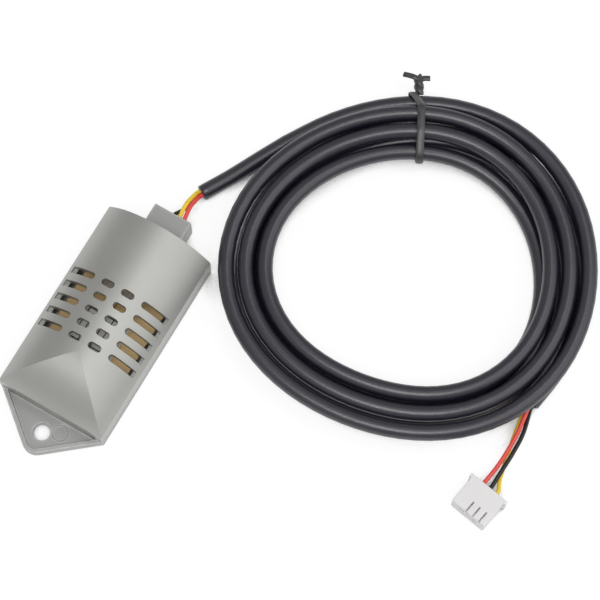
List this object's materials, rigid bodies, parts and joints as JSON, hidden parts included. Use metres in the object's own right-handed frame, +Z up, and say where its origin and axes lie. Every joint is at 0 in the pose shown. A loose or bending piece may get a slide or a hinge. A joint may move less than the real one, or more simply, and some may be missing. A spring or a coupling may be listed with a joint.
{
  "type": "temperature humidity sensor",
  "caption": "Vented grey sensor housing with a pointed mounting tab, a coiled black cable held by a twist tie, and a small white wire-to-board plug.",
  "frame": {"origin": "centre of the underside of the housing, tab and cable block included", "axes": "+Y from the mounting tab towards the cable block, +Z up through the hood"},
  "size_m": [0.1109, 0.1223, 0.0138],
  "materials": {
    "housing_grey": "fine grained",
    "hood_grey": "fine grained",
    "board_tan": "lacquered laminate",
    "element_pale": "coated ceramic",
    "bead_black": "dipped resin",
    "chip_grey": "moulded resin",
    "chip_black": "moulded resin",
    "ceramic_tan": "fired ceramic",
    "solder": "bright solder",
    "seal_grey": "soft filler",
    "wire_red": "satin insulation",
    "wire_yellow": "satin insulation",
    "wire_black": "satin insulation",
    "cable_black": "satin sheath",
    "tie_black": "coated wire",
    "plug_white": "translucent moulding",
    "contact_metal": "tin plate"
  },
  "bodies": {
    "base": {"base_shell": "housing_grey", "circuit_board": "board_tan", "humidity_element": "element_pale", "thermistor": "bead_black", "controller_chip": "chip_grey", "voltage_regulator": "chip_black", "capacitors": "ceramic_tan", "resistors": "chip_black", "wire_solder_joints": "solder", "wire_seal": "seal_grey", "red_lead_wire": "wire_red", "yellow_lead_wire": "wire_yellow", "black_lead_wire": "wire_black", "cable_lead": "cable_black", "cable_coil": "cable_black", "twist_tie": "tie_black", "red_plug_wire": "wire_red", "yellow_plug_wire": "wire_yellow", "black_plug_wire": "wire_black", "plug_housing": "plug_white", "plug_terminals": "contact_metal"},
    "cover": {"vent_cover": "hood_grey"}
  },
  "joints": [
    {"name": "cover_lift", "type": "slide", "parent": "base", "child": "cover", "axis": [0, 0, 1], "range_m": [0, 0.02]}
  ]
}
